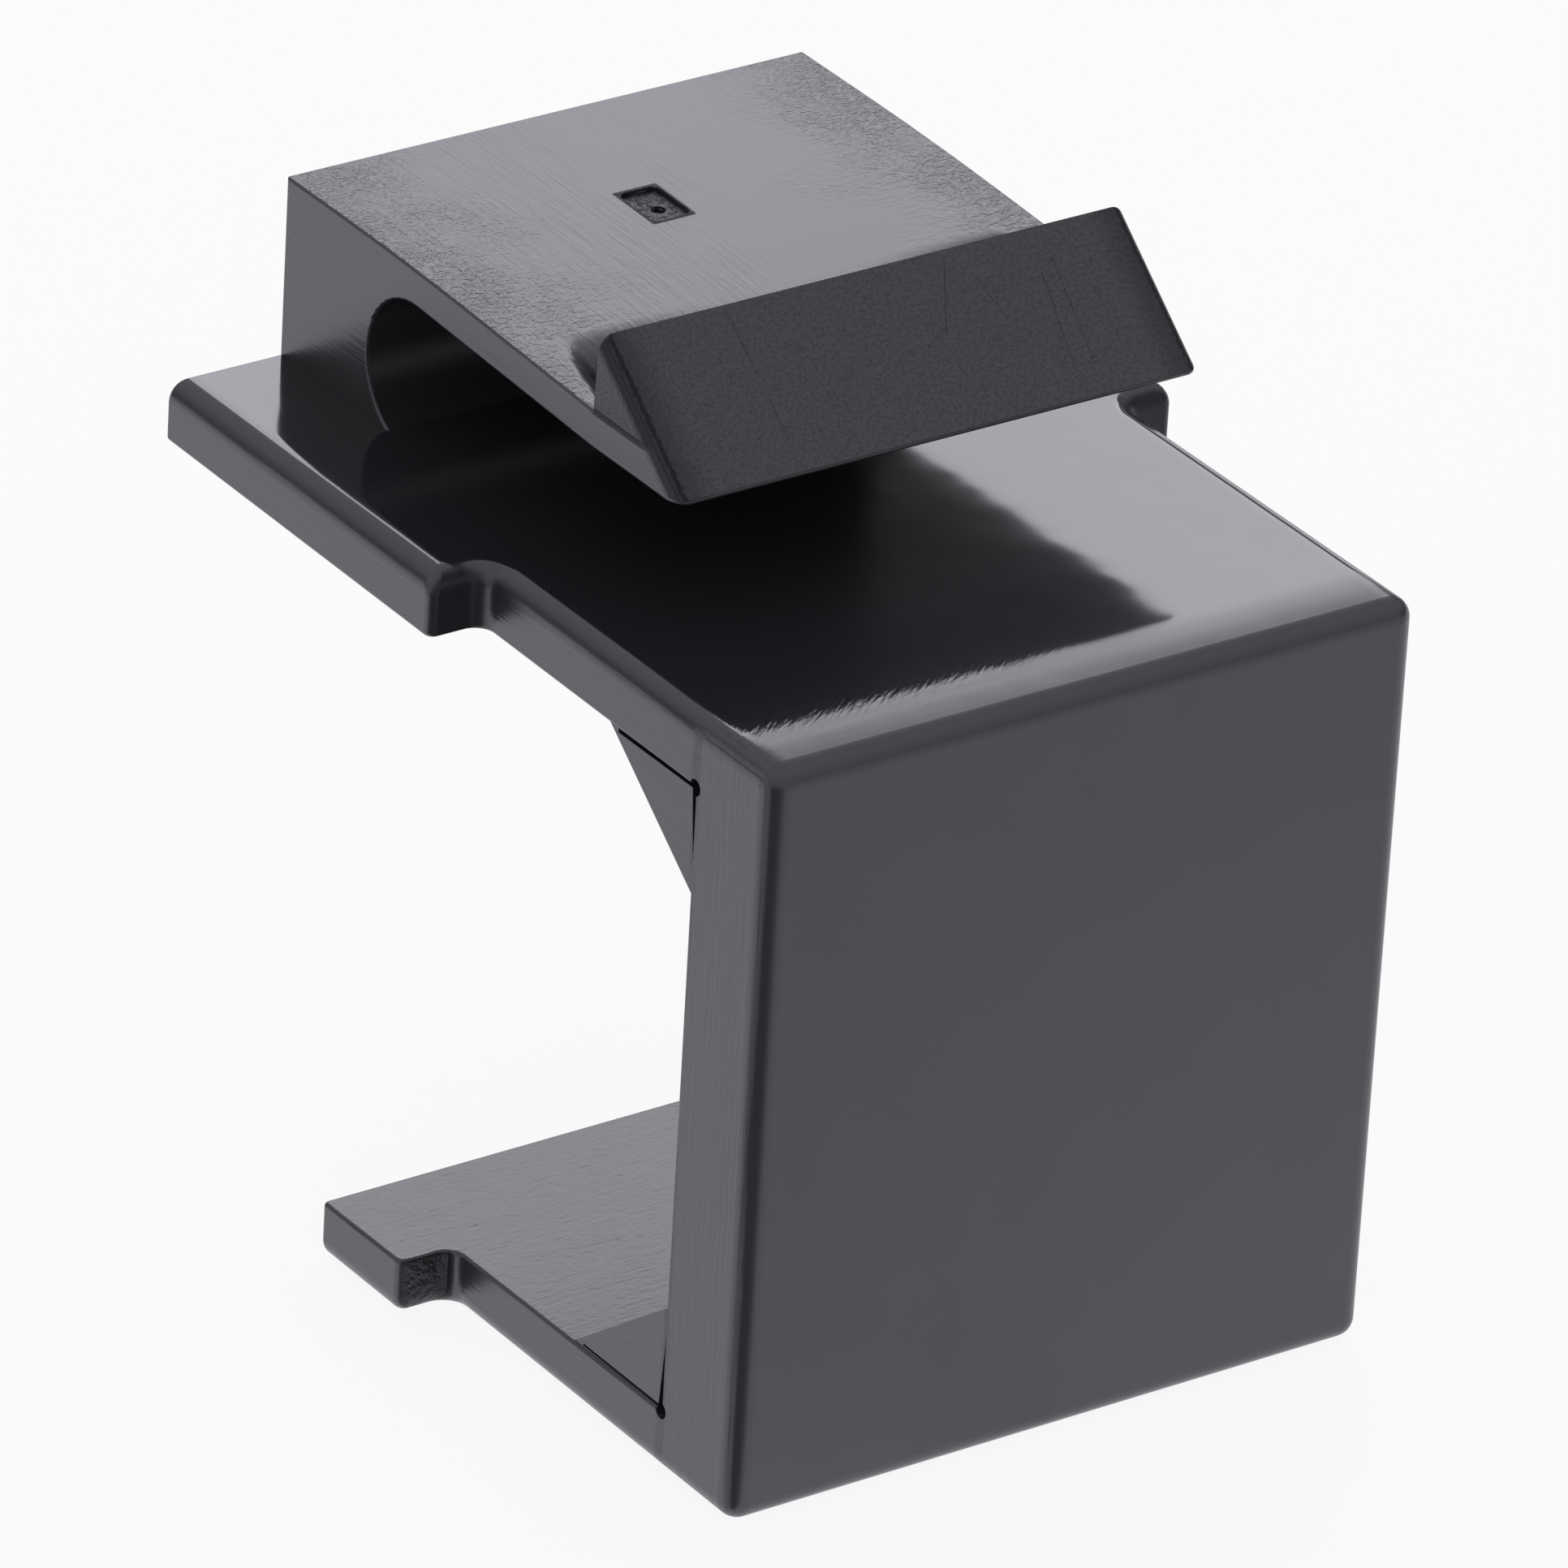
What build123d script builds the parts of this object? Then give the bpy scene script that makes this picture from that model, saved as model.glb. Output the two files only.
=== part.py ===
from build123d import *
import math
import os

# Blank insert for a keystone port, moulded in one piece, in millimetres.
# The origin is the centre of the front face. X is the width, seen from the front,
# Y runs back from the face and Z is up.

# Face plate that closes the port
face_width = 14.5
face_height = 15.82
plate_thickness = 2.41
outer_edge_radius = 0.42
inner_edge_radius = 0.08
rear_edge_radius = 0.13

# Walls running back from the plate, above and below
top_wall_depth = 18.7
top_wall_root_thickness = 1.38
top_wall_end_thickness = 1.22
bottom_wall_depth = 12.25
bottom_wall_root_thickness = 1.35
bottom_wall_end_thickness = 1.21

# Stop ears on both sides of each wall, which rest on the back of the panel
ear_projection = 1.18
ear_front = 9.5
ear_root_radius = 0.38
ear_corner_radius = 0.2

# Latch: a post at the rear of the top wall, and an arm that reaches forward and droops
latch_width = 11.8
slot_end_radius = 1.57
slot_floor_run = 0.77
slot_end_back = 2.95
arm_thickness = 0.75
arm_droop_angle = 2.65
arm_bend_back = 4.3
arm_bend_radius = 100
latch_edge_radius = 0.06

# Catch: a wedge across the front of the arm
catch_rear = 8.2
catch_tip = 5.26
catch_height = 1.57
catch_lean = 0.08
catch_side_radius = 0.32

# Shallow relief in the top of the arm, which slopes down to the foot of the catch
relief_length = 2.6
relief_depth = 0.3
relief_rear_inset = 1.0
relief_front_inset = 0.1
relief_corner_radius = 0.9
relief_end_slope = 45
relief_clearance = 0.02

# Gussets in the two corners behind the plate, on both sides
top_gusset_depth = 2.9
top_gusset_height = 2.24
bottom_gusset_depth = 3.0
bottom_gusset_height = 2.2
gusset_thickness = 1.5
gusset_inset = 0.06
gusset_overlap = 0.3
top_groove_width = 0.09
bottom_groove_width = 0.05
plate_groove_width = 0.16
groove_depth = 0.3
groove_end_gap = 0.3
pit_radius = 0.17
pit_depth = 0.45

# Gate mark on top of the arm: a shallow recess, with a pit where the sprue broke off
gate_offset_x = -0.35
gate_from_rear = 4.2
gate_mark_width = 0.88
gate_mark_length = 1.28
gate_mark_corner = 0.2
gate_mark_depth = 0.08
gate_clear_height = 0.3
gate_pit_radius = 0.15
gate_pit_depth = 0.14
gate_pit_shift = 0.12

# Plate and walls, worked out from the sizes above
half_width = face_width / 2
face_top = face_height / 2
face_bottom = -face_height / 2
ear_half_span = half_width + ear_projection
top_taper = (top_wall_root_thickness - top_wall_end_thickness) / top_wall_depth
ceiling_at_front = face_top - top_wall_root_thickness
ceiling_at_plate = ceiling_at_front + top_taper * plate_thickness
ceiling_at_ear = ceiling_at_front + top_taper * ear_front
ceiling_at_end = face_top - top_wall_end_thickness
bottom_taper = (bottom_wall_root_thickness - bottom_wall_end_thickness) / bottom_wall_depth
floor_at_front = face_bottom + bottom_wall_root_thickness
floor_at_plate = floor_at_front - bottom_taper * plate_thickness
floor_at_ear = floor_at_front - bottom_taper * ear_front
floor_at_end = face_bottom + bottom_wall_end_thickness

# Latch: the end of the slot is round, and the arm's underside leaves it as a tangent
latch_half = latch_width / 2
droop = math.radians(arm_droop_angle)
arm_slope = math.tan(droop)
latch_foot = ceiling_at_end + inner_edge_radius
slot_end = top_wall_depth - slot_end_back
slot_centre_y = slot_end - slot_end_radius
slot_centre_z = face_top + math.sqrt(slot_end_radius**2 - slot_floor_run**2)
slot_floor_y = slot_centre_y + slot_floor_run
slot_roof_y = slot_centre_y - slot_end_radius * math.sin(droop)
slot_roof_z = slot_centre_z + slot_end_radius * math.cos(droop)
arm_under_catch = slot_roof_z - arm_slope * (slot_roof_y - catch_rear)
arm_top_catch = arm_under_catch + arm_thickness
arm_bend = top_wall_depth - arm_bend_back
arm_top_rear = arm_top_catch + arm_slope * (arm_bend - catch_rear)
bend_run = arm_bend_radius * math.tan(droop / 2)
bend_rear_y = arm_bend + bend_run
bend_centre_z = arm_top_rear - arm_bend_radius
bend_middle_y = bend_rear_y - arm_bend_radius * math.sin(droop / 2)
bend_middle_z = bend_centre_z + arm_bend_radius * math.cos(droop / 2)
bend_front_y = bend_rear_y - arm_bend_radius * math.sin(droop)
bend_front_z = bend_centre_z + arm_bend_radius * math.cos(droop)

# Catch, and the relief behind it
ridge_top = arm_top_catch + catch_height
ridge_rear_top = catch_rear - catch_lean
slanted_middle = (catch_tip + ridge_rear_top) / 2
relief_start = catch_rear + relief_length
relief_start_z = arm_top_catch + arm_slope * relief_length
relief_middle = catch_rear + relief_length / 2
relief_middle_z = arm_top_catch + arm_slope * relief_length / 2 - relief_depth / 4
relief_floor_z = arm_top_catch - relief_depth
relief_clear_z = relief_start_z + relief_clearance
relief_plan_front = catch_rear - relief_depth

# Gussets with their grooves, and the gate mark
gusset_side = half_width - gusset_inset
gusset_root_y = plate_thickness - gusset_overlap
groove_y = plate_thickness + plate_groove_width
top_gusset_tip = plate_thickness + top_gusset_depth
top_gusset_foot = ceiling_at_plate - top_gusset_height
ceiling_at_tip = ceiling_at_front + top_taper * top_gusset_tip
bottom_gusset_tip = plate_thickness + bottom_gusset_depth
bottom_gusset_foot = floor_at_plate + bottom_gusset_height
floor_at_tip = floor_at_front - bottom_taper * bottom_gusset_tip
gate_y = top_wall_depth - gate_from_rear
arm_top_gate = arm_top_rear - (bend_rear_y - gate_y) ** 2 / (2 * arm_bend_radius)
gate_floor = arm_top_gate - gate_mark_depth

# Shape taken out of the arm behind the catch: its floor slopes, its ends spread forward
with BuildPart() as catch_relief:
    with BuildSketch(Plane.YZ):
        with BuildLine():
            ThreePointArc(
                (catch_rear, relief_floor_z),
                (relief_middle, relief_middle_z),
                (relief_start, relief_start_z),
            )
            Line((relief_start, relief_start_z), (relief_start, relief_clear_z))
            Line((relief_start, relief_clear_z), (catch_rear, relief_clear_z))
            Line((catch_rear, relief_clear_z), (catch_rear, relief_floor_z))
        make_face()
    extrude(amount=latch_half, both=True)
    with BuildSketch(Plane.XY.offset(relief_clear_z)) as relief_plan:
        with BuildLine():
            Polyline(
                (-latch_half + relief_front_inset, relief_plan_front),
                (latch_half - relief_front_inset, relief_plan_front),
                (latch_half - relief_rear_inset, relief_start),
                (-latch_half + relief_rear_inset, relief_start),
                close=True,
            )
        make_face()
        rear_corners = relief_plan.vertices().group_by(Axis.Y)[-1]
        fillet(rear_corners, radius=relief_corner_radius)
    extrude(
        amount=relief_floor_z - relief_clear_z, taper=relief_end_slope, mode=Mode.INTERSECT
    )

# Latch, seen from the side: post, arm and wedge-shaped catch
with BuildPart() as latch:
    with BuildSketch(Plane.YZ):
        with BuildLine():
            Polyline(
                (slot_floor_y, face_top),
                (slot_floor_y, latch_foot),
                (top_wall_depth, latch_foot),
                (top_wall_depth, arm_top_rear),
                (bend_rear_y, arm_top_rear),
            )
            ThreePointArc(
                (bend_rear_y, arm_top_rear),
                (bend_middle_y, bend_middle_z),
                (bend_front_y, bend_front_z),
            )
            Polyline(
                (bend_front_y, bend_front_z),
                (catch_rear, arm_top_catch),
                (ridge_rear_top, ridge_top),
                (catch_tip, arm_under_catch),
                (catch_rear, arm_under_catch),
                (slot_roof_y, slot_roof_z),
            )
            ThreePointArc(
                (slot_roof_y, slot_roof_z),
                (slot_end, slot_centre_z),
                (slot_floor_y, face_top),
            )
        make_face()
    extrude(amount=latch_half, both=True)

    # The slanted face of the catch is rounded along both of its ends
    slanted_edges = latch.edges().filter_by(
        lambda edge: abs(abs(edge.center().X) - latch_half) < 0.001
        and abs(edge.center().Y - slanted_middle) < 0.01
    )
    fillet(slanted_edges, radius=catch_side_radius)

    # The side edges of the arm and post are nearly sharp, and the catch's steep rear is sharp
    latch_edges = latch.edges().filter_by(
        lambda edge: abs(abs(edge.center().X) - latch_half) < 0.001
        and edge.center().Z > latch_foot + 0.01
        and (edge.center().Y > catch_rear + catch_lean or edge.center().Z < arm_top_catch)
    )
    fillet(latch_edges, radius=latch_edge_radius)

    # The relief behind the catch
    add(catch_relief.part, mode=Mode.SUBTRACT)

with BuildPart() as keystone_blank:
    # Plate and both walls, seen from the side as a letter C that opens to the rear
    with BuildSketch(Plane.YZ):
        with BuildLine():
            Polyline(
                (0, face_bottom),
                (bottom_wall_depth, face_bottom),
                (bottom_wall_depth, floor_at_end),
                (plate_thickness, floor_at_plate),
                (plate_thickness, ceiling_at_plate),
                (top_wall_depth, ceiling_at_end),
                (top_wall_depth, face_top),
                (0, face_top),
                close=True,
            )
        make_face()
    extrude(amount=half_width, both=True)

    # Stop ears: the rear of each wall is wider than the plate
    with BuildSketch(Plane.YZ):
        with BuildLine():
            Polyline(
                (ear_front, ceiling_at_ear),
                (top_wall_depth, ceiling_at_end),
                (top_wall_depth, face_top),
                (ear_front, face_top),
                close=True,
            )
        make_face()
        with BuildLine():
            Polyline(
                (ear_front, face_bottom),
                (bottom_wall_depth, face_bottom),
                (bottom_wall_depth, floor_at_end),
                (ear_front, floor_at_ear),
                close=True,
            )
        make_face()
    extrude(amount=ear_half_span, both=True)

    # Upright edges at the front of the ears: the root and the corner
    upright = keystone_blank.edges().filter_by(Axis.Z)
    ear_front_edges = upright.filter_by_position(Axis.Y, ear_front - 0.01, ear_front + 0.01)
    ear_roots = ear_front_edges.filter_by_position(Axis.X, -half_width - 0.01, half_width + 0.01)
    fillet(ear_roots, radius=ear_root_radius)
    upright = keystone_blank.edges().filter_by(Axis.Z)
    ear_corners = upright.filter_by_position(Axis.Y, ear_front - 0.01, ear_front + 0.01)
    fillet(ear_corners, radius=ear_corner_radius)

    # Rounds along the outside of the plate and of both walls
    outer_faces = keystone_blank.faces().filter_by(Axis.Z).sort_by(Axis.Z)
    bottom_edges = outer_faces[0].edges()
    top_edges = outer_faces[-1].edges()
    outer_edges = bottom_edges.filter_by(lambda edge: edge.center().Y < bottom_wall_depth - 0.01)
    outer_edges += top_edges.filter_by(lambda edge: edge.center().Y < top_wall_depth - 0.01)
    outer_edges += keystone_blank.faces().sort_by(Axis.Y)[0].edges()
    fillet(outer_edges, radius=outer_edge_radius)

    # Smaller rounds around the rear ends of the walls, but for their inner edges
    rear_edges = keystone_blank.edges().filter_by_position(
        Axis.Y, top_wall_depth - 0.01, top_wall_depth + 0.01
    )
    rear_edges = rear_edges.filter_by(lambda edge: edge.center().Z > ceiling_at_end + 0.01)
    end_edges = keystone_blank.edges().filter_by_position(
        Axis.Y, bottom_wall_depth - 0.01, bottom_wall_depth + 0.01
    )
    rear_edges += end_edges.filter_by(lambda edge: edge.center().Z < floor_at_end - 0.01)
    fillet(rear_edges, radius=rear_edge_radius)

    # Much smaller rounds along the rims of the three inner surfaces
    inner_faces = keystone_blank.faces().filter_by(GeomType.PLANE)
    inner_faces = inner_faces.filter_by_position(Axis.X, -0.01, 0.01)
    inner_faces = inner_faces.filter_by_position(
        Axis.Y, plate_thickness - 0.01, top_wall_depth - plate_thickness
    )
    inner_faces = inner_faces.filter_by_position(Axis.Z, floor_at_end, ceiling_at_end)
    inner_rims = inner_faces.edges().filter_by(
        lambda edge: abs(edge.center().X) > half_width - 0.01 or edge.center().Y > ear_front
    )
    fillet(inner_rims, radius=inner_edge_radius)

    add(latch.part)

    # Gussets: a triangle set in from each side, in both corners behind the plate
    for side in (-1, 1):
        with BuildSketch(Plane.YZ.offset(side * gusset_side)):
            with BuildLine():
                Polyline(
                    (gusset_root_y, ceiling_at_plate + gusset_overlap),
                    (top_gusset_tip, ceiling_at_plate + gusset_overlap),
                    (top_gusset_tip, ceiling_at_tip),
                    (plate_thickness, top_gusset_foot),
                    (gusset_root_y, top_gusset_foot),
                    close=True,
                )
            make_face()
            with BuildLine():
                Polyline(
                    (gusset_root_y, floor_at_plate - gusset_overlap),
                    (bottom_gusset_tip, floor_at_plate - gusset_overlap),
                    (bottom_gusset_tip, floor_at_tip),
                    (plate_thickness, bottom_gusset_foot),
                    (gusset_root_y, bottom_gusset_foot),
                    close=True,
                )
            make_face()
        extrude(amount=-side * gusset_thickness)

    # A fine groove along the wall and, narrowing, along the plate, and a pit where they meet
    for side in (-1, 1):
        with BuildSketch(Plane.YZ.offset(side * gusset_side)):
            with BuildLine():
                Polyline(
                    (plate_thickness, ceiling_at_plate),
                    (top_gusset_tip - groove_end_gap, ceiling_at_plate),
                    (top_gusset_tip - groove_end_gap, ceiling_at_plate - top_groove_width),
                    (groove_y, ceiling_at_plate - top_groove_width),
                    (plate_thickness, top_gusset_foot + groove_end_gap),
                    close=True,
                )
            make_face()
            with BuildLine():
                Polyline(
                    (plate_thickness, floor_at_plate),
                    (bottom_gusset_tip - groove_end_gap, floor_at_plate),
                    (bottom_gusset_tip - groove_end_gap, floor_at_plate + bottom_groove_width),
                    (groove_y, floor_at_plate + bottom_groove_width),
                    (plate_thickness, bottom_gusset_foot - groove_end_gap),
                    close=True,
                )
            make_face()
        extrude(amount=-side * groove_depth, mode=Mode.SUBTRACT)
        with BuildSketch(Plane.YZ.offset(side * half_width)):
            with Locations((plate_thickness, ceiling_at_plate), (plate_thickness, floor_at_plate)):
                Circle(pit_radius)
        extrude(amount=-side * pit_depth, mode=Mode.SUBTRACT)

    # Gate mark: the recess, then the pit in its floor
    with BuildSketch(Plane.XY.offset(gate_floor)):
        with Locations((gate_offset_x, gate_y)):
            RectangleRounded(gate_mark_width, gate_mark_length, gate_mark_corner)
    extrude(amount=gate_mark_depth + gate_clear_height, mode=Mode.SUBTRACT)
    with BuildSketch(Plane.XY.offset(gate_floor)):
        with Locations((gate_offset_x, gate_y - gate_pit_shift)):
            Circle(gate_pit_radius)
    extrude(amount=-gate_pit_depth, mode=Mode.SUBTRACT)

keystone_blank.part.label = "keystone_blank"
os.makedirs("parts", exist_ok=True)
export_step(keystone_blank.part, "parts/keystone_blank.step")
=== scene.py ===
import math
import bmesh
import bpy
from mathutils import Matrix, Vector


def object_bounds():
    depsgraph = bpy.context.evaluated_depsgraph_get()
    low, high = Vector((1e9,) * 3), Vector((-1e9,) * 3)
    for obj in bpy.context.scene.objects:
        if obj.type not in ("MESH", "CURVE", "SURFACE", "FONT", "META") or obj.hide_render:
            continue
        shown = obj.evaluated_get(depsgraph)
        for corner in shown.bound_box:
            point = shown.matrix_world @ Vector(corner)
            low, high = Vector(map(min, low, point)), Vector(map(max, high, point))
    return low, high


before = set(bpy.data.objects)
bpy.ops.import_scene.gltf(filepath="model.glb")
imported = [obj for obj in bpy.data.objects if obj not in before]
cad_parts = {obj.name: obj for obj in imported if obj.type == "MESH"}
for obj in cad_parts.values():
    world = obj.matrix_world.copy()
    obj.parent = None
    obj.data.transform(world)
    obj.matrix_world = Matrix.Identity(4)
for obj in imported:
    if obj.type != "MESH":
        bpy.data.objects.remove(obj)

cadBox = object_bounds()
cadLow = [round(value, 7) for value in cadBox[0]]


# camera, as the photograph was taken
cameraRig = {
    "place": (-0.145177, -0.192044, 0.133321),  # metres, from the centre of the front face
    "azimuth": -35.735,  # degrees, from straight in front
    "elevation": 27.968,
    "roll": 3.358,
    "lens": 340.95,  # mm, on a sensor 36 mm wide
    "sensor": 36.0,
    "near": 0.01,  # metres
    "far": 20.0,
}


def placeCamera(rig):
    azimuth = math.radians(rig["azimuth"])
    elevation = math.radians(rig["elevation"])
    roll = math.radians(rig["roll"])
    back = Vector((
        math.sin(azimuth) * math.cos(elevation),
        -math.cos(azimuth) * math.cos(elevation),
        math.sin(elevation),
    ))
    levelRight = (-back).cross(Vector((0, 0, 1))).normalized()
    levelUp = levelRight.cross(-back)
    right = levelRight * math.cos(roll) + levelUp * math.sin(roll)
    up = levelUp * math.cos(roll) - levelRight * math.sin(roll)
    data = bpy.data.cameras.new("photoCamera")
    data.sensor_width = rig["sensor"]
    data.lens = rig["lens"]
    data.clip_start = rig["near"]
    data.clip_end = rig["far"]
    camera = bpy.data.objects.new("photoCamera", data)
    turn = Matrix((right, up, back)).transposed().to_4x4()
    camera.matrix_world = Matrix.Translation(rig["place"]) @ turn
    bpy.context.collection.objects.link(camera)
    bpy.context.scene.camera = camera


placeCamera(cameraRig)
print("camera placed")


def linearColour(hexCode):
    channels = [int(hexCode[i:i + 2], 16) / 255 for i in (1, 3, 5)]
    return [c / 12.92 if c <= 0.04045 else ((c + 0.055) / 1.055) ** 2.4 for c in channels] + [1.0]


def addNode(tree, kind, settings=None):
    # a setting is a socket to link from, a property of the node, or a value for one of its inputs
    node = tree.nodes.new(kind)
    for name, value in (settings or {}).items():
        if isinstance(value, bpy.types.NodeSocket):
            tree.links.new(value, node.inputs[name])
        elif isinstance(name, str) and hasattr(node, name):
            setattr(node, name, value)
        else:
            node.inputs[name].default_value = value
    return node


bpy.context.scene.view_settings.view_transform = "Standard"

# soft white studio: pale floor, bright from above, dimmer around, one soft light behind
studio = {
    "tint": "#f7f6ff",  # the cool cast of the lights
    "white": "#ffffff",  # floor and backdrop
    "above": 0.64,  # strength of the light from above, from the front and from elsewhere
    "front": 0.55,
    "around": 0.2,
    "aboveStart": 0.3,  # height of a direction at which the light from above starts
    "aboveFull": 0.58,
    "frontStart": 0.55,  # how far back and how far right the light from the front reaches
    "frontFull": 0.15,
    "rightStart": 0.85,
    "rightFull": 0.6,
    "floorSize": 3.0,  # metres
    "shadowKept": 0.1,  # share of the floor's real shading that the camera sees
    "cornerPlace": 0.86,  # the plate's left corner, as a share of the box's left side
    "cornerAim": (-0.81, -0.59, 0.0),  # where the painted shadow lies on the floor, seen from that corner
    "cornerStart": 0.45,
    "cornerFull": 0.95,
    "cornerPaintedShadow": 0.15,  # how bright the painted shadow leaves that part of the floor in reflections
    "frontPaintedShade": 0.72,  # painted shade: how bright the floor in front looks in reflections
    "frontFloorNear": -0.002,  # metres, where that fall starts and ends
    "frontFloorFar": -0.035,
    "backDirection": (0.516, 0.717, 0.469),
    "backDistance": 0.9,
    "backSize": 0.54,
    "backWatts": 2.05,
}

world = bpy.data.worlds.new("whiteStudio")
bpy.context.scene.world = world
world.use_nodes = True
tree = world.node_tree
tree.nodes.clear()
outlook = addNode(tree, "ShaderNodeTexCoord")
direction = addNode(tree, "ShaderNodeSeparateXYZ", {0: outlook.outputs["Generated"]})
above = addNode(tree, "ShaderNodeMapRange", {
    "interpolation_type": "SMOOTHSTEP", 0: direction.outputs["Z"],
    1: studio["aboveStart"], 2: studio["aboveFull"], 3: studio["around"], 4: studio["above"]})
front = addNode(tree, "ShaderNodeMapRange", {
    "interpolation_type": "SMOOTHSTEP", 0: direction.outputs["Y"],
    1: studio["frontStart"], 2: studio["frontFull"], 4: studio["front"]})
left = addNode(tree, "ShaderNodeMapRange", {
    "interpolation_type": "SMOOTHSTEP", 0: direction.outputs["X"],
    1: studio["rightStart"], 2: studio["rightFull"]})
frontLeft = addNode(tree, "ShaderNodeMath", {
    "operation": "MULTIPLY", 0: front.outputs[0], 1: left.outputs[0]})
level = addNode(tree, "ShaderNodeMath", {
    "operation": "MAXIMUM", 0: above.outputs[0], 1: frontLeft.outputs[0]})
surround = addNode(tree, "ShaderNodeBackground", {
    "Color": linearColour(studio["tint"]), "Strength": level.outputs[0]})
backdrop = addNode(tree, "ShaderNodeBackground", {"Color": linearColour(studio["white"])})
path = addNode(tree, "ShaderNodeLightPath")
shown = addNode(tree, "ShaderNodeMixShader", {
    0: path.outputs["Is Camera Ray"], 1: surround.outputs[0], 2: backdrop.outputs[0]})
addNode(tree, "ShaderNodeOutputWorld", {"Surface": shown.outputs[0]})

# the camera sees the floor white with a faint shadow; reflections see it white too, but for a painted shadow
# in front of the object's left corner and a painted shade that falls slowly towards the front
floorMaterial = bpy.data.materials.new("paleSweep")
floorMaterial.use_nodes = True
tree = floorMaterial.node_tree
tree.nodes.clear()
matte = addNode(tree, "ShaderNodeBsdfDiffuse", {"Color": linearColour(studio["white"])})
plainWhite = addNode(tree, "ShaderNodeEmission", {"Color": linearColour(studio["white"])})
floorPlace = addNode(tree, "ShaderNodeTexCoord").outputs["Object"]
corner = (cadLow[0] * studio["cornerPlace"], 0.0, cadLow[2])
fromCorner = addNode(tree, "ShaderNodeVectorMath", {"operation": "SUBTRACT", 0: floorPlace, 1: corner})
aim = addNode(tree, "ShaderNodeVectorMath", {"operation": "NORMALIZE", 0: fromCorner.outputs[0]})
towardsShade = addNode(tree, "ShaderNodeVectorMath", {
    "operation": "DOT_PRODUCT", 0: aim.outputs[0], 1: studio["cornerAim"]})
# painted shadow on the floor, seen only in reflections
paintedCornerShadow = addNode(tree, "ShaderNodeMapRange", {
    "interpolation_type": "SMOOTHSTEP", 0: towardsShade.outputs["Value"],
    1: studio["cornerStart"], 2: studio["cornerFull"], 3: 1.0, 4: studio["cornerPaintedShadow"]})
floorY = addNode(tree, "ShaderNodeSeparateXYZ", {0: floorPlace}).outputs["Y"]
# painted shade on the floor towards the front, seen only in reflections
paintedFrontShade = addNode(tree, "ShaderNodeMapRange", {
    0: floorY, 1: studio["frontFloorNear"], 2: studio["frontFloorFar"], 3: 1.0, 4: studio["frontPaintedShade"]})
paintedFloorShade = addNode(tree, "ShaderNodeMath", {
    "operation": "MULTIPLY", 0: paintedCornerShadow.outputs[0], 1: paintedFrontShade.outputs[0]})
paintedMirrorFloor = addNode(tree, "ShaderNodeEmission", {
    "Color": linearColour(studio["tint"]), "Strength": paintedFloorShade.outputs[0]})
path = addNode(tree, "ShaderNodeLightPath")
cameraShare = addNode(tree, "ShaderNodeMath", {
    "operation": "MULTIPLY", 0: path.outputs["Is Camera Ray"], 1: 1 - studio["shadowKept"]})
seen = addNode(tree, "ShaderNodeMixShader", {
    0: cameraShare.outputs[0], 1: matte.outputs[0], 2: plainWhite.outputs[0]})
shown = addNode(tree, "ShaderNodeMixShader", {
    0: path.outputs["Is Glossy Ray"], 1: seen.outputs[0], 2: paintedMirrorFloor.outputs[0]})
addNode(tree, "ShaderNodeOutputMaterial", {"Surface": shown.outputs[0]})

floorShape = bmesh.new()
bmesh.ops.create_grid(floorShape, x_segments=1, y_segments=1, size=studio["floorSize"])
bmesh.ops.translate(floorShape, verts=floorShape.verts, vec=(0, 0, cadBox[0][2]))
floorMesh = bpy.data.meshes.new("studioFloor")
floorShape.to_mesh(floorMesh)
floorShape.free()
floorMesh.materials.append(floorMaterial)
floor = bpy.data.objects.new("studioFloor", floorMesh)
bpy.context.collection.objects.link(floor)

backLamp = bpy.data.lights.new("backSoftbox", "AREA")
backLamp.shape = "SQUARE"
backLamp.size = studio["backSize"]
backLamp.energy = studio["backWatts"]
backLamp.color = linearColour(studio["tint"])[:3]
backLight = bpy.data.objects.new("backSoftbox", backLamp)
outward = Vector(studio["backDirection"]).normalized()
backLight.location = outward * studio["backDistance"]
backLight.rotation_euler = outward.to_track_quat("Z", "Y").to_euler()
backLight.visible_camera = False
bpy.context.collection.objects.link(backLight)
print("studio lit")
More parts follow.
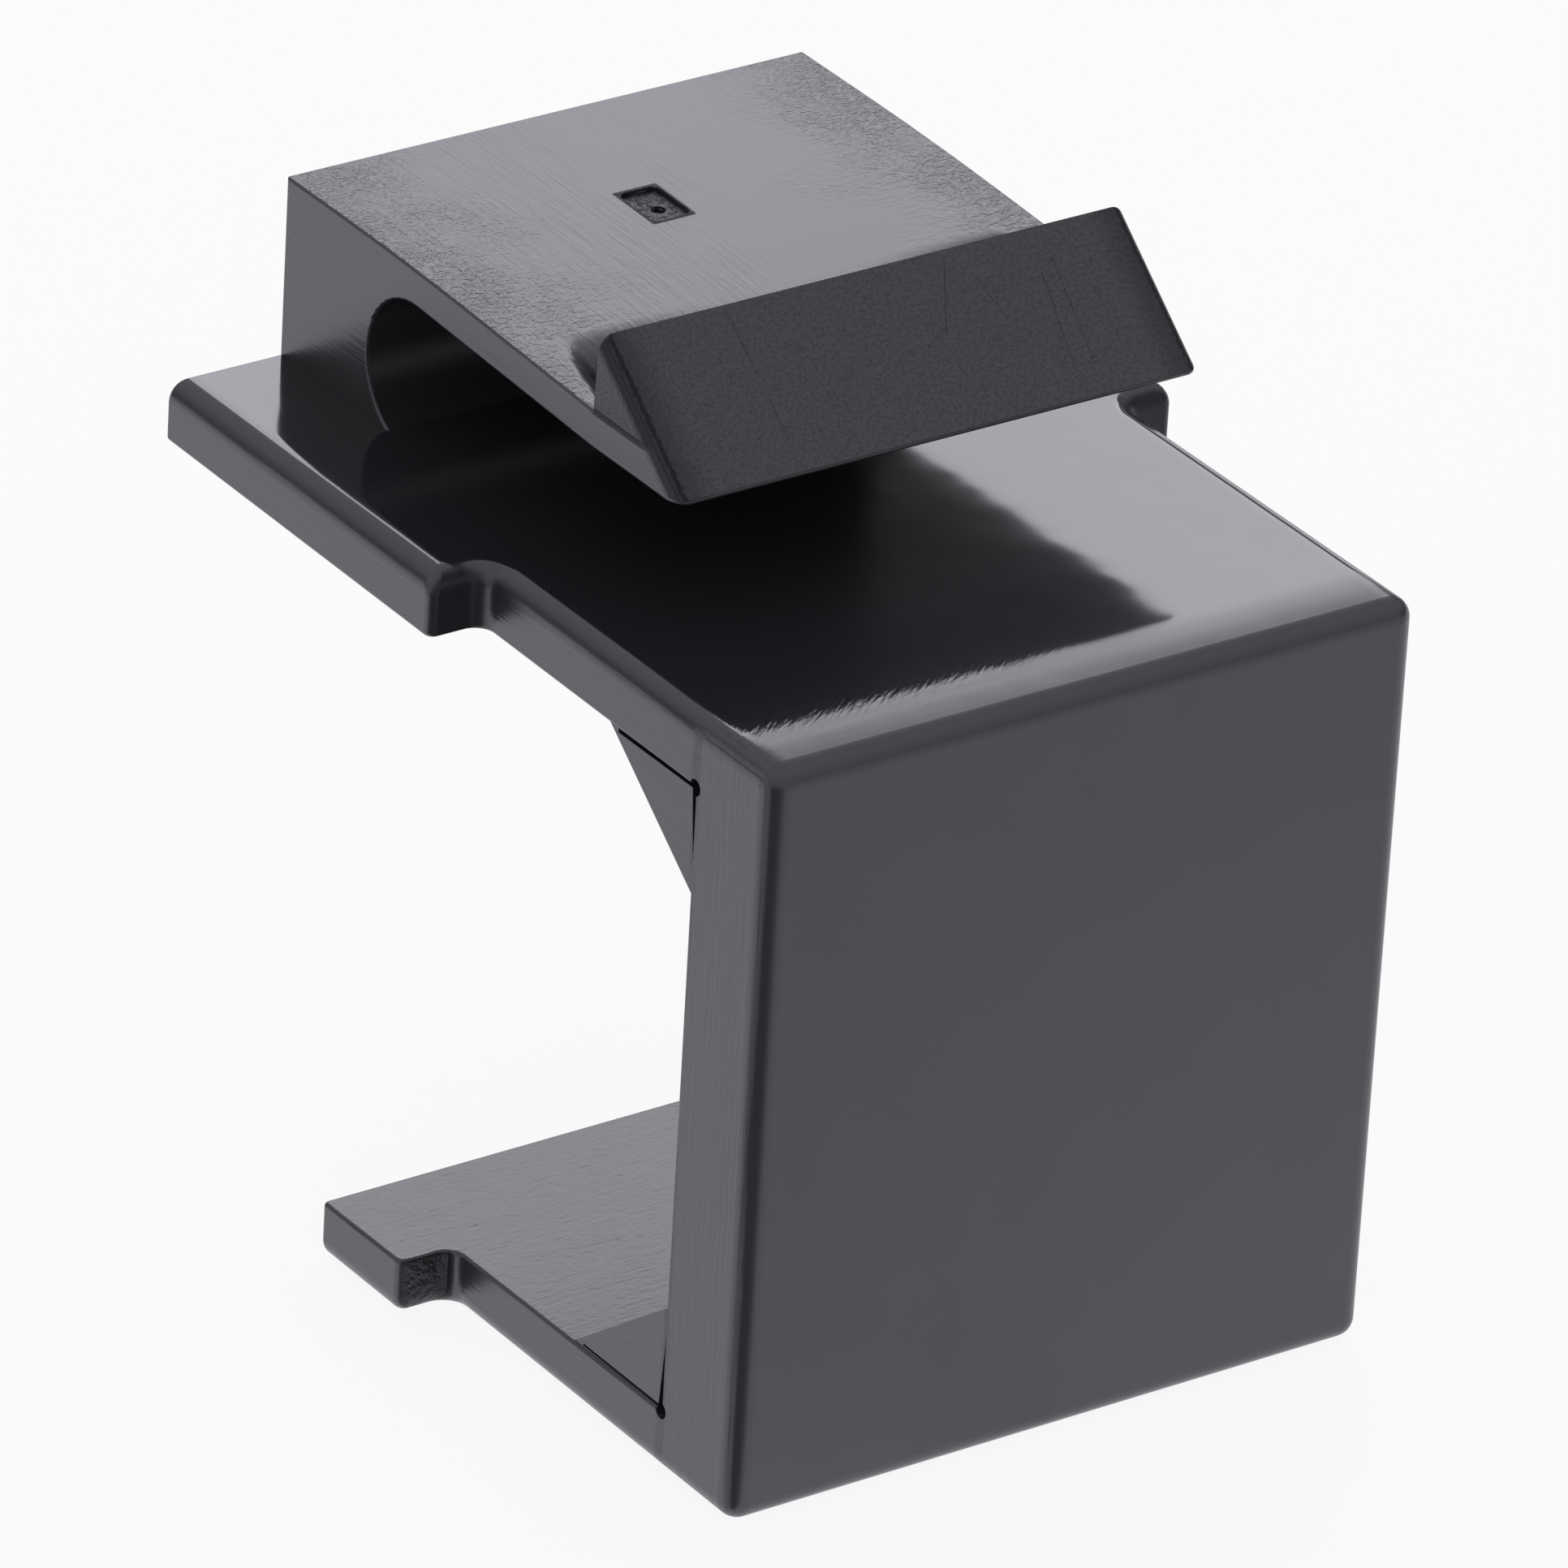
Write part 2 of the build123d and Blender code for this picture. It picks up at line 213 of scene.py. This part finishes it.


# black ABS, injection moulded: dark and slightly bluish, satin where the mould was matt, nearly a mirror on
# top of the wall, with flow streaks and light scratches, and with painted shade and painted sheen worked into
# its shine
blankLook = {
    "colour": "#2b2b2e",
    "ior": 1.53,
    "specular": 0.9,
    "roughness": 0.3,
    "frontRoughness": 0.32,
    "armTopRoughness": 0.33,
    "wallTopRoughness": 0.1,
    "frontStripRoughness": 0.26,
    "lowerWallRoughness": 0.37,
    "catchRoughness": 0.38,
    "gateRoughness": 0.4,
    "pebbleWidth": 0.12,  # mm, the cast grain near the edges of the arm
    "pebbleSquash": 0.65,  # how many pebbles lie across the arm, against along it
    "pebbleDepth": 0.015,
    "armPebbleDepth": 0.004,
    "frontPebbleDepth": 0.002,
    "lowerPebbleDepth": 0.012,
    "grainWidth": 0.06,  # mm, the fine grain on the catch, drawn as coarse as it needs to show
    "grainLength": 0.1,
    "catchGrainDepth": 0.02,
    "catchPitPaintedShade": 0.34,  # painted shade: share of the shine taken away in the pits of the grain
    "catchEndPaintedShade": 0.5,  # painted shade: and at both ends of the catch
    # painted shade over the sides of the catch above the arm
    "catchSidePaintedShade": 0.42,
    "gateGrainWidth": 0.14,
    "gateGrainDepth": 0.14,
    # painted shade in the pits of the gate mark's grain
    "gatePitPaintedShade": 0.75,
    "earGrainDepth": 0.056,
    # painted shade on the fronts of the ears
    "earFrontPaintedShade": 0.7,
    "frontClouds": 0.08,
    "sidePaintedSheen": 0.11,  # painted sheen: the sides get more shine, so they reflect brighter
    "streakWidth": 0.09,  # mm, flow streaks along the arm and the walls
    "streakLength": 2.4,
    "streakDepth": 0.008,
    "armStreakDepth": 0.018,
    "ripplePeriod": 1.6,  # mm, the slow unevenness of the glossy top
    "rippleDepth": 0.012,
    "flickWidth": 0.11,  # mm, short marks where the glossy top starts to fall to its front edge
    "flickLength": 0.5,
    "flickTurn": -39,  # degrees
    "flickDepth": 0.008,
    "edgeFall": 0.2,  # slope that the glossy top reaches beside its rounded edges
    "scratchWidth": 0.032,
    "scratchDepth": 0.0022,
    "catchScratchDepth": 0.011,
    "seamDepth": 0.03,  # mm, the seam along both ends of the catch
    "seamWander": 0.1,
    # painted shade in the seam
    "seamPaintedShade": 0.85,
    "bankSlant": 0.244,  # how far the relief's ends spread forward
    "bankDepth": 0.32,
    # painted shade in the hollow at the relief's ends
    "bankPaintedShade": 0.95,
    "noiseDetail": 2.0,
    "noiseRoughness": 0.6,
    "rippleDetail": 1.0,
    "patchSpread": 4.0,  # mm, how far the ripples push the borders of the arm's patches
}

# borders of the regions: where each starts to count and where it counts in full, as a share of
# the normal for those that face a way, else in mm in the part's own frame
blankBorders = {
    "facesUp": (0.85, 0.95),
    "facesSide": (0.7, 0.9),
    "facesFront": (-0.8, -0.95),
    "earFacesFront": (-0.5, -0.8),
    "catchFacesUp": (0.5, 0.65),
    "catchFacesFront": (-0.35, -0.5),
    "slopeFacesUp": (0.2, 0.4),
    "slopeFacesFront": (-0.1, -0.3),
    "catchSideFacesSide": (0.6, 0.9),
    "aboveArmRoot": (10.2, 10.6),
    "aboveCatchTip": (10.4, 10.5),
    "aboveArmEdge": (11.25, 11.4),
    "aboveGate": (11.0, 11.2),
    "aboveTopWall": (7.2, 7.6),
    "belowArm": (9.2, 8.8),
    "belowPost": (9.5, 9.2),
    "belowMiddle": (1.0, 0.0),
    "lowerWallLevel": (-5.4, -5.8),
    "behindCatch": (8.26, 8.24),
    "inPlate": (2.6, 2.2),
    "atFront": (0.4, 0.2),
    "atEars": (8.4, 8.8),
    "aheadOfEars": (9.3, 8.9),
    "pastEarFront": (8.9, 9.3),
    "gateLeft": (-0.86, -0.76),
    "gateRight": (0.14, 0.04),
    "gateFront": (13.78, 13.9),
    "gateRear": (15.22, 15.1),
    "pits": (0.4, 0.68),
    "pebbles": (0.32, 0.68),
    "pebbled": (4.2, 8.6),
    "streaked": (3.2, 1.0),
    "flicksRear": (2.4, 1.7),
    "flicksFront": (0.7, 1.1),
    "flicksRight": (2.0, -3.0),
    "reliefEnd": (7.76, 7.64),
    "reliefRear": (11.0, 10.7),
    "bankFoot": (7.702, 7.252),
    "bankRear": (10.9, 9.3),
    "bankOutside": (1.0, 4.4),
    "hollowEnd": (7.72, 7.58),
    "hollowInside": (6.7, 7.1),
    "hollowRear": (10.2, 9.4),
    "seamInside": (5.68, 5.73),
    "seamOutside": (5.80, 5.75),
    "catchEnd": (4.8, 5.7),
    "frontStrip": (1.7, 1.2),
    "frontFall": (1.9, 0.4),
    "wallSideFall": (6.6, 7.0),
    "earSideFall": (7.75, 8.05),
}

# scratches on the sloping front of the catch, as x, z of both ends in mm
catchScratches = [
    (-3.14, 12.82, -3.12, 11.91),
    (-3.11, 11.60, -3.09, 11.10),
    (1.72, 12.80, 1.05, 11.86),
    (2.17, 12.45, 2.44, 11.88),
    (3.56, 12.29, 3.35, 11.18),
    (3.91, 12.45, 3.77, 11.06),
]

# scratches on the bottom wall, as x, y of both ends in mm
lowerScratches = [
    (-4.33, 11.65, -4.72, 9.36),
    (-7.29, 9.38, -7.59, 7.79),
    (-6.38, 8.52, -3.71, 8.10),
]


def regionMask(tree, limits):
    # 1 where every value is past its border, 0 where one is short of it
    mask = 1.0
    for value, borderName in limits:
        start, full = blankBorders[borderName]
        step = addNode(tree, "ShaderNodeMapRange", {
            "interpolation_type": "SMOOTHSTEP", 0: value, 1: start, 2: full})
        mask = addNode(tree, "ShaderNodeMath", {
            "operation": "MULTIPLY", 0: mask, 1: step.outputs[0]}).outputs[0]
    return mask


def layHeight(tree, total, pattern, depth, mask):
    kept = addNode(tree, "ShaderNodeMath", {"operation": "MULTIPLY", 0: pattern, 1: mask})
    return addNode(tree, "ShaderNodeMath", {
        "operation": "MULTIPLY_ADD", 0: kept.outputs[0], 1: depth, 2: total}).outputs[0]


# cuts the shine by a share where the mask is, for painted shade; a negative share raises it, for painted
# sheen
def paintShadeAndSheen(tree, shine, share, mask):
    kept = addNode(tree, "ShaderNodeMath", {"operation": "MULTIPLY_ADD", 0: mask, 1: -share, 2: 1.0})
    return addNode(tree, "ShaderNodeMath", {"operation": "MULTIPLY", 0: shine, 1: kept.outputs[0]}).outputs[0]


def scratchMarks(tree, flatPlace, scratches, width):
    # 1 along the scratches, falling to 0 at their width, from the distance to the nearest one
    nearest = 100.0
    for startX, startY, endX, endY in scratches:
        start = Vector((startX, startY, 0))
        along = Vector((endX, endY, 0)) - start
        offset = addNode(tree, "ShaderNodeVectorMath", {
            "operation": "SUBTRACT", 0: flatPlace, 1: start}).outputs[0]
        run = addNode(tree, "ShaderNodeVectorMath", {
            "operation": "DOT_PRODUCT", 0: offset, 1: along / along.length_squared}).outputs["Value"]
        held = addNode(tree, "ShaderNodeClamp", {0: run}).outputs[0]
        foot = addNode(tree, "ShaderNodeVectorMath", {
            "operation": "SCALE", 0: along, "Scale": held}).outputs[0]
        apart = addNode(tree, "ShaderNodeVectorMath", {
            "operation": "DISTANCE", 0: offset, 1: foot}).outputs["Value"]
        nearest = addNode(tree, "ShaderNodeMath", {
            "operation": "MINIMUM", 0: nearest, 1: apart}).outputs[0]
    return addNode(tree, "ShaderNodeMapRange", {
        "interpolation_type": "SMOOTHSTEP", 0: nearest, 1: width, 2: 0.0}).outputs[0]


absMaterial = bpy.data.materials.new("blackMouldedAbs")
absMaterial.use_nodes = True
tree = absMaterial.node_tree
tree.nodes.clear()
look = blankLook
place = addNode(tree, "ShaderNodeTexCoord")
spot = addNode(tree, "ShaderNodeVectorMath", {
    "operation": "SCALE", 0: place.outputs["Object"], "Scale": 1000.0}).outputs[0]  # in mm
x, y, z = addNode(tree, "ShaderNodeSeparateXYZ", {0: spot}).outputs
nx, ny, nz = addNode(tree, "ShaderNodeSeparateXYZ", {0: place.outputs["Normal"]}).outputs
fromMiddle = addNode(tree, "ShaderNodeMath", {"operation": "ABSOLUTE", 0: x}).outputs[0]
sideways = addNode(tree, "ShaderNodeMath", {"operation": "ABSOLUTE", 0: nx}).outputs[0]
spotXY = addNode(tree, "ShaderNodeCombineXYZ", {0: x, 1: y}).outputs[0]
spotXZ = addNode(tree, "ShaderNodeCombineXYZ", {0: x, 1: z}).outputs[0]

armTop = regionMask(tree, [(nz, "facesUp"), (z, "aboveArmRoot")])
wallTop = regionMask(tree, [(nz, "facesUp"), (z, "aboveTopWall"), (z, "belowArm")])
lowerWall = regionMask(tree, [(nz, "facesUp"), (z, "lowerWallLevel")])
catchSlope = regionMask(tree, [(ny, "slopeFacesFront"), (nz, "slopeFacesUp"), (z, "aboveCatchTip")])
catchFace = regionMask(tree, [(ny, "catchFacesFront"), (nz, "catchFacesUp"), (z, "aboveCatchTip")])
catchSide = regionMask(tree, [(sideways, "catchSideFacesSide"), (y, "behindCatch"), (z, "aboveArmEdge")])
sideFace = regionMask(tree, [(sideways, "facesSide")])
plateSide = regionMask(tree, [(sideways, "facesSide"), (y, "inPlate")])
frontFace = regionMask(tree, [(ny, "facesFront"), (y, "atFront")])
earFront = regionMask(tree, [(ny, "earFacesFront"), (y, "atEars"), (z, "belowPost")])
earGrain = regionMask(tree, [(ny, "earFacesFront"), (y, "atEars"), (z, "belowMiddle")])
gateMark = regionMask(tree, [
    (x, "gateLeft"), (x, "gateRight"), (y, "gateFront"), (y, "gateRear"), (z, "aboveGate")])
print("regions set")

pebbleStretch = Vector((look["pebbleSquash"], 1.0, 1.0)) / look["pebbleWidth"]
pebblePlace = addNode(tree, "ShaderNodeVectorMath", {
    "operation": "MULTIPLY", 0: spot, 1: pebbleStretch}).outputs[0]
pebbles = addNode(tree, "ShaderNodeTexNoise", {
    "Vector": pebblePlace, "Scale": 1.0,
    "Detail": look["noiseDetail"], "Roughness": look["noiseRoughness"]}).outputs[0]
ripples = addNode(tree, "ShaderNodeTexNoise", {
    "Vector": spot, "Scale": 1 / look["ripplePeriod"], "Detail": look["rippleDetail"]}).outputs[0]

# one noise serves all streaks and fine grain, stretched another way in each region: back along
# the walls and the arm, across the bottom wall, up the plate's sides, slantwise at the front of
# the glossy top, and evenly on the catch, on the lower ears' fronts and in the gate mark
across, along = 1 / look["streakWidth"], 1 / look["streakLength"]
grain, grainRise, gateGrain = 1 / look["grainWidth"], 1 / look["grainLength"], 1 / look["gateGrainWidth"]
stretch = (across, along, across)
for mask, regionStretch in (
    (lowerWall, (along, across, across)),
    (plateSide, (across, across, along)),
    (catchFace, (grain, grain, grainRise)),
    (catchSide, (grain, grain, grain)),
    (earGrain, (gateGrain, gateGrain, gateGrain)),
    (gateMark, (gateGrain, gateGrain, gateGrain)),
):
    stretch = addNode(tree, "ShaderNodeMix", {
        "data_type": "VECTOR", 0: mask, 4: stretch, 5: regionStretch}).outputs[1]
streakPlace = addNode(tree, "ShaderNodeVectorMath", {"operation": "MULTIPLY", 0: spot, 1: stretch}).outputs[0]
turned = addNode(tree, "ShaderNodeMapping", {
    "Vector": spot, "Rotation": (0.0, 0.0, math.radians(look["flickTurn"]))}).outputs[0]
flickPlace = addNode(tree, "ShaderNodeVectorMath", {
    "operation": "MULTIPLY", 0: turned, 1: (1 / look["flickLength"], 1 / look["flickWidth"], 1.0)}).outputs[0]
streakSpot = addNode(tree, "ShaderNodeMix", {
    "data_type": "VECTOR", 0: wallTop, 4: streakPlace, 5: flickPlace}).outputs[1]
streaks = addNode(tree, "ShaderNodeTexNoise", {
    "Vector": streakSpot, "Scale": 1.0,
    "Detail": look["noiseDetail"], "Roughness": look["noiseRoughness"]}).outputs[0]
pits = regionMask(tree, [(streaks, "pits")])
crispPebbles = regionMask(tree, [(pebbles, "pebbles")])

# the arm is pebbled towards its sides, but not in the relief, and streaked in its left half
bankLine = addNode(tree, "ShaderNodeMath", {
    "operation": "MULTIPLY_ADD", 0: y, 1: look["bankSlant"], 2: fromMiddle}).outputs[0]
relief = regionMask(tree, [(bankLine, "reliefEnd"), (y, "reliefRear")])
outsideRelief = addNode(tree, "ShaderNodeMath", {"operation": "SUBTRACT", 0: 1.0, 1: relief}).outputs[0]
patchyWidth = addNode(tree, "ShaderNodeMath", {
    "operation": "MULTIPLY_ADD", 0: ripples, 1: look["patchSpread"], 2: fromMiddle}).outputs[0]
pebbleArea = addNode(tree, "ShaderNodeMath", {
    "operation": "MULTIPLY", 0: armTop, 1: regionMask(tree, [(patchyWidth, "pebbled")])}).outputs[0]
pebbleArea = addNode(tree, "ShaderNodeMath", {
    "operation": "MULTIPLY", 0: pebbleArea, 1: outsideRelief}).outputs[0]
patchyX = addNode(tree, "ShaderNodeMath", {
    "operation": "MULTIPLY_ADD", 0: ripples, 1: look["patchSpread"], 2: x}).outputs[0]
streakArea = addNode(tree, "ShaderNodeMath", {
    "operation": "MULTIPLY", 0: armTop, 1: regionMask(tree, [(patchyX, "streaked")])}).outputs[0]
flickBand = regionMask(tree, [(y, "flicksRear"), (y, "flicksFront"), (x, "flicksRight")])
flickArea = addNode(tree, "ShaderNodeMath", {"operation": "MULTIPLY", 0: wallTop, 1: flickBand}).outputs[0]

# bank at both ends of the relief behind the catch, steeper than its floor, and the seam along
# both ends of the catch, a little ragged
bank = regionMask(tree, [(bankLine, "bankFoot"), (y, "bankRear"), (fromMiddle, "bankOutside")])
# where painted shade darkens the hollow at the relief's ends
paintedBankShadeArea = regionMask(tree, [(bankLine, "hollowEnd"), (bankLine, "hollowInside"), (y, "hollowRear")])
raggedWidth = addNode(tree, "ShaderNodeMath", {
    "operation": "MULTIPLY_ADD", 0: pebbles, 1: look["seamWander"], 2: fromMiddle}).outputs[0]
seam = regionMask(tree, [(raggedWidth, "seamInside"), (raggedWidth, "seamOutside")])
catchMarks = scratchMarks(tree, spotXZ, catchScratches, look["scratchWidth"])
lowerMarks = scratchMarks(tree, spotXY, lowerScratches, look["scratchWidth"])

height = 0.0
for pattern, depth, mask in (
    (crispPebbles, look["pebbleDepth"], pebbleArea),
    (pebbles, look["armPebbleDepth"], armTop),
    (streaks, look["armStreakDepth"], streakArea),
    (ripples, look["rippleDepth"], wallTop),
    (streaks, look["flickDepth"], flickArea),
    (streaks, look["catchGrainDepth"], catchFace),
    (pebbles, look["catchGrainDepth"] / 2, catchSlope),
    (streaks, look["catchGrainDepth"] / 2, catchSide),
    (pebbles, look["frontPebbleDepth"], frontFace),
    (streaks, look["streakDepth"], sideFace),
    (streaks, look["streakDepth"], lowerWall),
    (pebbles, look["lowerPebbleDepth"], lowerWall),
    (streaks, look["gateGrainDepth"], gateMark),
    (streaks, look["earGrainDepth"], earGrain),
    (catchMarks, -look["catchScratchDepth"], catchFace),
    (lowerMarks, -look["scratchDepth"], lowerWall),
    (bank, -look["bankDepth"], armTop),
    (seam, -look["seamDepth"], catchSlope),
):
    height = layHeight(tree, height, pattern, depth, mask)
print("grain, streaks, scratches and seams laid")

# the glossy top falls a little towards its front and side edges before their rounding
frontFall = addNode(tree, "ShaderNodeMath", {
    "operation": "MULTIPLY", 0: regionMask(tree, [(y, "frontFall")]), 1: -look["edgeFall"]}).outputs[0]
outwards = addNode(tree, "ShaderNodeMath", {"operation": "SIGN", 0: x}).outputs[0]
besideWall = regionMask(tree, [(fromMiddle, "wallSideFall"), (y, "aheadOfEars")])
besideEars = regionMask(tree, [(fromMiddle, "earSideFall"), (y, "pastEarFront")])
besideEdge = addNode(tree, "ShaderNodeMath", {"operation": "ADD", 0: besideWall, 1: besideEars}).outputs[0]
sideFall = addNode(tree, "ShaderNodeMath", {"operation": "MULTIPLY", 0: besideEdge, 1: outwards}).outputs[0]
sideFall = addNode(tree, "ShaderNodeMath", {
    "operation": "MULTIPLY", 0: sideFall, 1: look["edgeFall"]}).outputs[0]
fall = addNode(tree, "ShaderNodeCombineXYZ", {0: sideFall, 1: frontFall}).outputs[0]
fall = addNode(tree, "ShaderNodeVectorMath", {"operation": "SCALE", 0: fall, "Scale": wallTop}).outputs[0]
relieved = addNode(tree, "ShaderNodeBump", {
    "Strength": 1.0, "Distance": 0.001, "Height": height}).outputs[0]  # heights are in mm
tilted = addNode(tree, "ShaderNodeVectorMath", {"operation": "ADD", 0: relieved, 1: fall}).outputs[0]
surface = addNode(tree, "ShaderNodeVectorMath", {"operation": "NORMALIZE", 0: tilted}).outputs[0]

frontStrip = addNode(tree, "ShaderNodeMath", {
    "operation": "MULTIPLY", 0: wallTop, 1: regionMask(tree, [(y, "frontStrip")])}).outputs[0]
roughness = look["roughness"]
for mask, regionRoughness in (
    (frontFace, look["frontRoughness"]),
    (armTop, look["armTopRoughness"]),
    (wallTop, look["wallTopRoughness"]),
    (frontStrip, look["frontStripRoughness"]),
    (lowerWall, look["lowerWallRoughness"]),
    (catchFace, look["catchRoughness"]),
    (gateMark, look["gateRoughness"]),
):
    roughness = addNode(tree, "ShaderNodeMix", {
        "data_type": "FLOAT", 0: mask, 2: roughness, 3: regionRoughness}).outputs[0]

# painted shade: pits, seams and hollows too small to model, the ends and sides of the catch and the ears'
# fronts lose part of the shine; painted sheen adds shine on the sides, and the front's shine varies in clouds
shine = look["specular"]
for share, region, pattern in (
    (look["catchPitPaintedShade"], catchFace, pits),
    (look["gatePitPaintedShade"], gateMark, pits),
    (look["seamPaintedShade"], catchSlope, seam),
    (look["catchEndPaintedShade"], catchSlope, regionMask(tree, [(fromMiddle, "catchEnd")])),
    (look["catchSidePaintedShade"], catchSide, 1.0),
    (look["bankPaintedShade"], armTop, paintedBankShadeArea),
    (look["earFrontPaintedShade"], earFront, 1.0),
    (look["frontClouds"], frontFace, ripples),
    (-look["sidePaintedSheen"], sideFace, 1.0),
):
    mask = addNode(tree, "ShaderNodeMath", {"operation": "MULTIPLY", 0: region, 1: pattern}).outputs[0]
    shine = paintShadeAndSheen(tree, shine, share, mask)

plastic = addNode(tree, "ShaderNodeBsdfPrincipled", {
    "Base Color": linearColour(look["colour"]), "IOR": look["ior"], "Specular IOR Level": shine,
    "Roughness": roughness, "Normal": surface})
addNode(tree, "ShaderNodeOutputMaterial", {"Surface": plastic.outputs[0]})

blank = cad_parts["keystone_blank"]
blank.data.materials.clear()
blank.data.materials.append(absMaterial)
print("black ABS on the blank")
